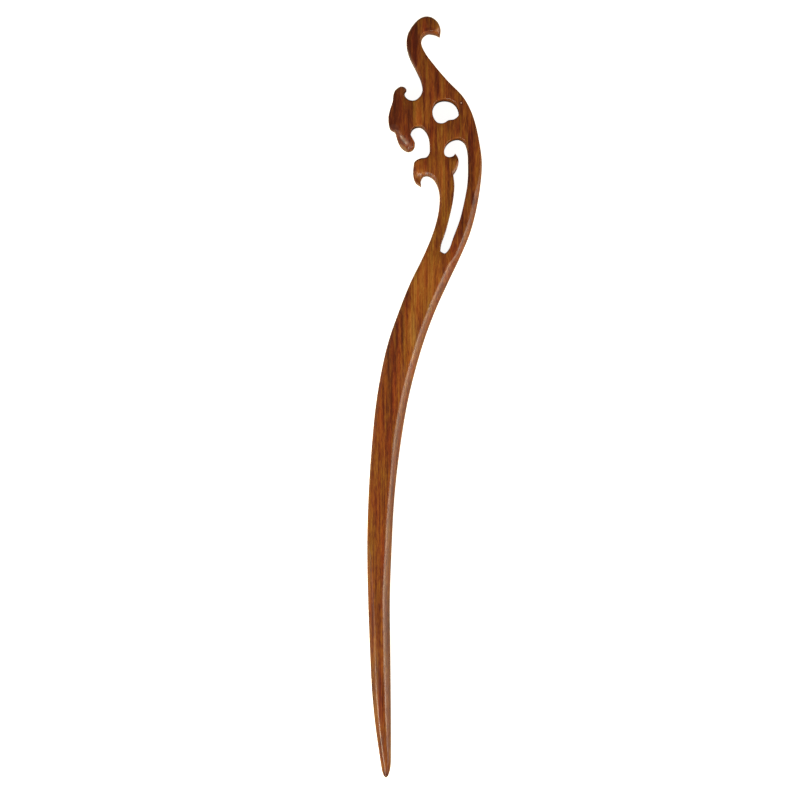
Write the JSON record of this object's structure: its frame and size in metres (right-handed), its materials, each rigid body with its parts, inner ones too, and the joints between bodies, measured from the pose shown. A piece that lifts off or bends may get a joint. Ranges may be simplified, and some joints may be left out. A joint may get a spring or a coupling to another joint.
{
  "type": "hair stick",
  "caption": "Carved wooden hair stick: an S-curved shaft that tapers to a point, and a pierced head with a hooked crest.",
  "frame": {"origin": "middle of the length and of the width, on the flat back that the stick lies on", "axes": "+Y from the point to the crest, +Z out of the front face, +X towards the bulging back of the head"},
  "size_m": [0.0272, 0.18, 0.005],
  "materials": {
    "wood": "satin, reddish brown with dark streaks along the length"
  },
  "bodies": {
    "root": {"hair_stick": "wood"}
  },
  "joints": []
}
